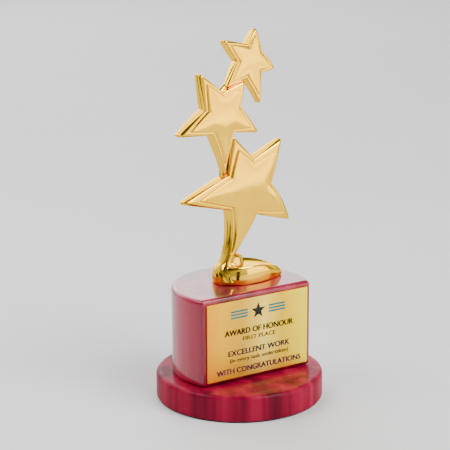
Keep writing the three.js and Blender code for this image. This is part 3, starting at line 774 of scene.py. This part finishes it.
class Tree:
    """A material under construction."""

    def __init__(self, name):
        """Starts a material whose patterns are placed by the object's own coordinates."""
        self.material = bpy.data.materials.new(name)
        self.material.use_nodes = True
        self.nodes = self.material.node_tree.nodes
        self.links = self.material.node_tree.links
        self.shader = self.nodes["Principled BSDF"]
        self.place = self.add("ShaderNodeTexCoord").outputs["Object"]

    def add(self, kind, settings=(), **inputs):
        """A node with these settings, and with values or links on its named inputs."""
        made = self.nodes.new(kind)
        for key, value in dict(settings).items():
            setattr(made, key, value)
        for key, value in inputs.items():
            self.plug(value, made.inputs[key.replace("_", " ")])
        return made

    def plug(self, value, socket):
        """Links an output to a socket, or sets the socket's own value."""
        if isinstance(value, bpy.types.NodeSocket):
            self.links.new(value, socket)
        else:
            socket.default_value = value

    def set(self, **inputs):
        """Values and links for the shader's named inputs."""
        for key, value in inputs.items():
            self.plug(value, self.shader.inputs[key.replace("_", " ")])

    def noise(self, scale, stretch=(1, 1, 1), detail=2.0, roughness=0.5, offset=(0, 0, 0)):
        """Noise from 0 to 1, with scale spots to the metre before the stretch."""
        mapping = self.add("ShaderNodeMapping", Vector=self.place, Scale=stretch, Location=offset)
        made = self.add("ShaderNodeTexNoise", Vector=mapping.outputs["Vector"], Scale=scale, Detail=detail,
                        Roughness=roughness)
        return made.outputs["Fac"]

    def remap(self, value, low, high, to_low, to_high):
        """The value with low to high turned into to_low to to_high, and held there."""
        made = self.add("ShaderNodeMapRange", Value=value, From_Min=low, From_Max=high, To_Min=to_low,
                        To_Max=to_high)
        return made.outputs["Result"]

    def ramp(self, value, *stops):
        """A colour from (place, colour) stops."""
        made = self.add("ShaderNodeValToRGB", Fac=value)
        elements = made.color_ramp.elements
        while len(elements) < len(stops):
            elements.new(RAMP_MIDDLE)
        for element, (at, colour) in zip(elements, stops):
            element.position = at
            element.color = (*colour, 1)
        return made.outputs["Color"]

    def bump(self, height, distance, strength=1.0, normal=None):
        """A normal for relief that is distance millimetres deep, over another normal if one is given."""
        made = self.add("ShaderNodeBump", Height=height, Distance=distance * MM, Strength=strength)
        if normal is not None:
            self.links.new(normal, made.inputs["Normal"])
        return made.outputs["Normal"]


def gold_look():
    """Mirror-polished gilt: slow colour drift, faint casting waves, hairline polishing marks."""
    t = Tree("polished_gold")
    drift = t.noise(45, detail=3)
    colour = t.ramp(drift, (0.3, (0.95, 0.53, 0.015)), (0.7, (0.99, 0.60, 0.035)))
    haze = t.noise(240, detail=4, offset=(0.3, 0.1, 0.2))
    waves = t.bump(t.noise(70, detail=1), 0.05, 0.35)
    hairlines = t.bump(t.noise(900, stretch=(6, 6, 0.35), detail=2), 0.004, 0.25, waves)
    t.set(Metallic=1.0, Base_Color=colour, Roughness=t.remap(haze, 0.3, 0.7, 0.07, 0.15),
          Normal=hairlines, Specular_Tint=(0.96, 0.80, 0.40, 1))
    return t.material


def lacquer_look(name, gloss, specular):
    """Red piano lacquer over upright wood grain.

    gloss is the weight of its clear coat, up to 1, and specular the level of the wood's own highlight.
    """
    t = Tree(name)
    broad = t.noise(62, stretch=(1, 0.75, 0.04), detail=2, roughness=0.5)
    fine = t.noise(260, stretch=(1, 0.75, 0.03), detail=3, roughness=0.55, offset=(0.2, 0.4, 0))
    pores = t.noise(1600, stretch=(1, 1, 0.03), detail=2, offset=(0.5, 0.1, 0))
    grain = t.add("ShaderNodeMath", {"operation": "ADD"})
    t.plug(t.remap(broad, 0.25, 0.75, 0, 0.75), grain.inputs[0])
    t.plug(t.remap(fine, 0.25, 0.75, 0, 0.25), grain.inputs[1])
    colour = t.ramp(grain.outputs[0], (0.2, (0.10, 0.003, 0.016)), (0.42, (0.23, 0.005, 0.027)),
                    (0.58, (0.34, 0.007, 0.037)), (0.8, (0.46, 0.015, 0.062)))
    t.set(Base_Color=colour, Roughness=t.remap(pores, 0.3, 0.7, 0.3, 0.42), Coat_Weight=gloss,
          Coat_Roughness=0.05, Coat_IOR=1.5, Specular_IOR_Level=specular,
          Normal=t.bump(t.noise(35, detail=1), 0.03, 0.3))
    return t.material


def plate_look():
    """Satin gold sheet: upright bands of painted reflection, darker and lighter across its width, and very
    fine upright brushing.
    """
    t = Tree("satin_gold_plate_painted_reflections")
    apart = t.add("ShaderNodeSeparateXYZ", Vector=t.place)
    across = t.remap(apart.outputs["X"], PLATE_LOW[0] * MM, PLATE_HIGH[0] * MM, 0, 1)
    # The ramp across the plate's width paints reflection bands into the colour: the darker orange and lighter
    # yellow stripes stand in for the studio's reflections on a satin sheet.
    colour = t.ramp(across, (0, (1.0, 0.42, 0.0)), (0.14, (1.0, 0.52, 0.006)), (0.34, (0.80, 0.46, 0.03)),
                    (0.56, (1.0, 0.76, 0.12)), (0.74, (0.86, 0.54, 0.008)), (1, (1.0, 0.82, 0.02)))
    brush = t.noise(2200, stretch=(1, 1, 0.02), detail=3)
    t.set(Metallic=1.0, Base_Color=colour, Roughness=t.remap(brush, 0.3, 0.7, 0.38, 0.5),
          Normal=t.bump(brush, 0.004, 0.4))
    return t.material


def steel_look():
    """Zinc-plated steel: mottled, with turning marks."""
    t = Tree("zinc_steel")
    mottle = t.noise(700, detail=4)
    colour = t.ramp(mottle, (0.3, (0.42, 0.43, 0.45)), (0.7, (0.62, 0.63, 0.66)))
    rings = t.noise(2500, stretch=(0.15, 0.15, 1), detail=2)
    t.set(Metallic=1.0, Base_Color=colour, Roughness=t.remap(mottle, 0.3, 0.7, 0.3, 0.5),
          Normal=t.bump(rings, 0.01, 0.4))
    return t.material


def felt_look():
    """Dark wool felt with matted fibres."""
    t = Tree("dark_felt")
    fibres = t.noise(1400, stretch=(1, 0.5, 1), detail=6, roughness=0.7)
    colour = t.ramp(fibres, (0.3, (0.012, 0.012, 0.014)), (0.7, (0.05, 0.045, 0.05)))
    t.set(Base_Color=colour, Roughness=0.95, Sheen_Weight=0.4, Sheen_Roughness=0.5,
          Normal=t.bump(fibres, 0.15, 0.8))
    return t.material


def adhesive_look():
    """Pale foam adhesive with open cells."""
    t = Tree("foam_adhesive")
    cells = t.add("ShaderNodeTexVoronoi", Vector=t.place, Scale=1800.0).outputs["Distance"]
    colour = t.ramp(cells, (0, (0.62, 0.60, 0.54)), (0.6, (0.82, 0.80, 0.74)))
    t.set(Base_Color=colour, Roughness=0.85, Normal=t.bump(cells, 0.05, 0.6))
    return t.material


THIN_INK_GAIN = 1.3  # how much paler the ink is where its cover is thin
THIN_INK_LIFT = 0.004


def ink_look(name, colour):
    """Printed ink: slightly uneven cover."""
    t = Tree("ink_" + name)
    cover = t.noise(2600, detail=4)
    thin = tuple(c * THIN_INK_GAIN + THIN_INK_LIFT for c in colour)
    t.set(Base_Color=t.ramp(cover, (0.35, colour), (0.75, thin)),
          Roughness=t.remap(cover, 0.3, 0.7, 0.35, 0.5), Specular_IOR_Level=0.15,
          Normal=t.bump(cover, 0.005, 0.5))
    return t.material


def floor_look():
    """Plain pale floor."""
    t = Tree("pale_floor")
    colour = t.ramp(t.noise(3, detail=2), (0.3, (0.80,) * 3), (0.7, (0.83,) * 3))
    t.set(Base_Color=colour, Roughness=0.6, Normal=t.bump(t.noise(400, detail=3), 0.05, 0.3))
    return t.material


def flag_look(name, grey):
    """Dark cloth."""
    t = Tree(name)
    weave = t.noise(900, detail=2)
    colour = t.ramp(weave, (0.3, (grey,) * 3), (0.7, (2 * grey,) * 3))
    t.set(Base_Color=colour, Roughness=0.95, Specular_IOR_Level=0.0)
    return t.material


# ---------------------------------------------------------------- stage: camera, floor and lights

# The camera, with angles in degrees and lengths in millimetres. Azimuth 0 is in front of the plate.
CAMERA_AZIMUTH = -32.49
CAMERA_ELEVATION = 14.5
CAMERA_ROLL = -0.38
CAMERA_DISTANCE = 888
CAMERA_LENS = 118.5
SENSOR_WIDTH = 36
CAMERA_TARGET = (-6.9, 4.4, 106.7)
LIGHT_TARGET = (0, 0, 110)
FLOOR_RADIUS = 30  # metres
FLOOR_STEPS = 96
FLAG_STEPS = 24

# The brightness of the studio's walls all round, by azimuth in degrees.
WALL_TONES = [(-180, 1.0), (-140, 0.45), (-108, 0.14), (-60, 0.12), (-28, 0.3), (-6, 0.42), (5, 0.5),
              (50, 0.6), (64, 0.2), (76, 0.2), (86, 0.6), (98, 0.6), (108, 0.2), (130, 0.8), (180, 1.0)]
# How that brightness falls off, by the share of the way from the lowest part of the wall to overhead.
RISE_TONES = [(0, 1), (0.45, 1), (0.62, 0.3), (0.8, 0.12), (1, 0.12)]
WALL_FOOT = -0.1  # height of the lowest part on a sphere of radius 1
STUDIO_STRENGTH = 2.2


def direction(azimuth, elevation):
    """Unit vector from the trophy: azimuth 0 is towards the plate's side and 90 to its reader's right."""
    a, e = math.radians(azimuth), math.radians(elevation)
    return Vector((math.sin(a) * math.cos(e), -math.cos(a) * math.cos(e), math.sin(e)))


def looking(back, roll=0):
    """Turns something that looks along -Z so that it looks along -back, upright but for roll degrees."""
    right = Vector((0, 0, 1)).cross(back).normalized()
    up = back.cross(right)
    turn = Matrix((right, up, back)).transposed().to_4x4()
    return turn @ Matrix.Rotation(math.radians(roll), 4, "Z")


def add_camera():
    """The camera, where the photograph was taken from."""
    data = bpy.data.cameras.new("camera")
    data.lens = CAMERA_LENS
    data.sensor_width = SENSOR_WIDTH
    camera = in_scene("camera", data)
    back = direction(CAMERA_AZIMUTH, CAMERA_ELEVATION)
    eye = (Vector(CAMERA_TARGET) + back * CAMERA_DISTANCE) * MM
    camera.matrix_world = Matrix.Translation(eye) @ looking(back, CAMERA_ROLL)
    bpy.context.scene.camera = camera


def add_floor(look):
    """A round floor, too wide for its edge to show in views from above."""
    mesh = bpy.data.meshes.new("floor")
    made = bmesh.new()
    bmesh.ops.create_circle(made, cap_ends=True, segments=FLOOR_STEPS, radius=FLOOR_RADIUS)
    made.to_mesh(mesh)
    made.free()
    mesh.materials.append(look)
    floor = in_scene("floor", mesh)
    floor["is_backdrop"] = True


def add_softbox(name, azimuth, elevation, distance, width, height, power, colour=(1, 1, 1)):
    """A rectangular soft light, aimed at the middle of the trophy and out of the camera's sight.

    Its distance, width and height are in metres.
    """
    data = bpy.data.lights.new(name, "AREA")
    data.shape = "RECTANGLE"
    data.size, data.size_y = width, height
    data.energy = power
    data.color = colour
    light = in_scene(name, data)
    back = direction(azimuth, elevation)
    light.matrix_world = Matrix.Translation(Vector(LIGHT_TARGET) * MM + back * distance) @ looking(back)
    light.visible_camera = False
    return light


def add_lights():
    """Soft panels all round. The nearest only shows in reflections: it would burn a spot into the floor."""
    add_softbox("back_panel", azimuth=178, elevation=34, distance=2.6, width=2.4, height=1.6, power=34)
    add_softbox("key_panel", azimuth=24, elevation=50, distance=1.7, width=1.0, height=0.8, power=32)
    low_panel = add_softbox("low_front_right_panel", azimuth=40, elevation=8, distance=0.6, width=0.6,
                            height=0.34, power=1.7, colour=(1, 0.86, 0.46))
    low_panel.visible_diffuse = False
    add_softbox("left_top_panel", azimuth=-112, elevation=50, distance=1.9, width=1.2, height=0.9, power=22)
    add_softbox("low_back_panel", azimuth=150, elevation=14, distance=2.6, width=2.2, height=0.8, power=11)


def add_flag(name, look, start, end, distance, height):
    """A curved dark card that stands on the floor and shows only in reflections, as bands on the gold."""
    points, faces = [], []
    for k, azimuth in enumerate(np.linspace(start, end, FLAG_STEPS + 1)):
        foot = direction(azimuth, 0) * distance
        points += [(foot.x, foot.y, 0), (foot.x, foot.y, height)]
        if k:
            faces.append((2 * k - 2, 2 * k, 2 * k + 1, 2 * k - 1))
    flag = in_scene(name, mesh_of(name, points, faces))
    flag.data.materials.append(look)
    flag.visible_camera = False
    flag.visible_diffuse = False
    flag.visible_shadow = False
    flag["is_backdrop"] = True


def set_world():
    """A soft studio all round: bright behind and at the front right, dimmer on the left, dark overhead."""
    world = bpy.data.worlds.new("studio")
    world.use_nodes = True
    nodes, links = world.node_tree.nodes, world.node_tree.links
    apart = nodes.new("ShaderNodeSeparateXYZ")
    links.new(nodes.new("ShaderNodeTexCoord").outputs["Generated"], apart.inputs["Vector"])

    def worked_out(kind, operation, *values):
        """The result of a maths node with links or numbers on its inputs."""
        made = nodes.new(kind)
        made.operation = operation
        for value, socket in zip(values, made.inputs):
            if isinstance(value, bpy.types.NodeSocket):
                links.new(value, socket)
            else:
                socket.default_value = value
        return made.outputs[0]

    def scaled(value, low, high):
        """The value with low to high turned into 0 to 1."""
        made = nodes.new("ShaderNodeMapRange")
        made.inputs["From Min"].default_value = low
        made.inputs["From Max"].default_value = high
        links.new(value, made.inputs["Value"])
        return made.outputs["Result"]

    def grey_ramp(value, stops):
        """A grey from (place, grey) stops, eased from each to the next."""
        made = nodes.new("ShaderNodeValToRGB")
        made.color_ramp.interpolation = "EASE"
        elements = made.color_ramp.elements
        while len(elements) < len(stops):
            elements.new(RAMP_MIDDLE)
        for element, (at, grey) in zip(elements, stops):
            element.position = at
            element.color = (grey, grey, grey, 1)
        links.new(value, made.inputs["Fac"])
        return made.outputs["Color"]

    to_front = worked_out("ShaderNodeMath", "MULTIPLY", apart.outputs["Y"], -1)
    around = worked_out("ShaderNodeMath", "ARCTAN2", apart.outputs["X"], to_front)
    walls = grey_ramp(scaled(around, -math.pi, math.pi),
                      [((azimuth + 180) / 360, grey) for azimuth, grey in WALL_TONES])
    rise = grey_ramp(scaled(apart.outputs["Z"], WALL_FOOT, 1), RISE_TONES)
    background = nodes["Background"]
    links.new(worked_out("ShaderNodeVectorMath", "MULTIPLY", walls, rise), background.inputs["Color"])
    background.inputs["Strength"].default_value = STUDIO_STRENGTH
    bpy.context.scene.world = world


# ---------------------------------------------------------------- the scene

gold = gold_look()
steel = steel_look()
inks = {
    "black": ink_look("black", (0.012, 0.011, 0.012)),
    "teal": ink_look("teal", (0.0, 0.17, 0.20)),
    "grey": ink_look("grey", (0.05, 0.045, 0.04)),
    "blue": ink_look("blue", (0.035, 0.03, 0.16)),
    "slate": ink_look("slate", (0.07, 0.06, 0.10)),
    "purple": ink_look("purple", (0.22, 0.03, 0.16)),
}

for star_name, star_sizes in STARS.items():
    star_piece(star_name, star_sizes, gold)
foot_piece(gold)
block_piece(lacquer_look("block_lacquer", gloss=0.9, specular=0.06))
plinth_piece(lacquer_look("plinth_lacquer", gloss=0.12, specular=0.015))
felt_piece(felt_look())
plate_piece(plate_look())
print_pieces(inks)


def repaint(look, *nodes):
    """Gives CAD nodes that stay in view their own material."""
    for node in nodes:
        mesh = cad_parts[node].data
        mesh.materials.clear()
        mesh.materials.append(look)


repaint(adhesive_look(), "nameplate_adhesive")
repaint(gold, "small_star_dowel", "medium_star_dowel")
repaint(steel, "leg_pin", "foot_locating_pin", "tie_rod", "flat_washer", "spring_washer", "rod_nut", *SCREWS)

add_camera()
add_floor(floor_look())
add_lights()
add_flag("low_flag", flag_look("dark_cloth", 0.02), start=-130, end=-88, distance=420, height=100)
add_flag("narrow_flag", flag_look("black_cloth", 0.004), start=-20, end=-8, distance=240, height=130)
set_world()

seen_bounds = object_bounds()
sizes = {"cad": [list(map(float, corner)) for corner in cad_bounds],
         "visual": [list(map(float, corner)) for corner in seen_bounds]}
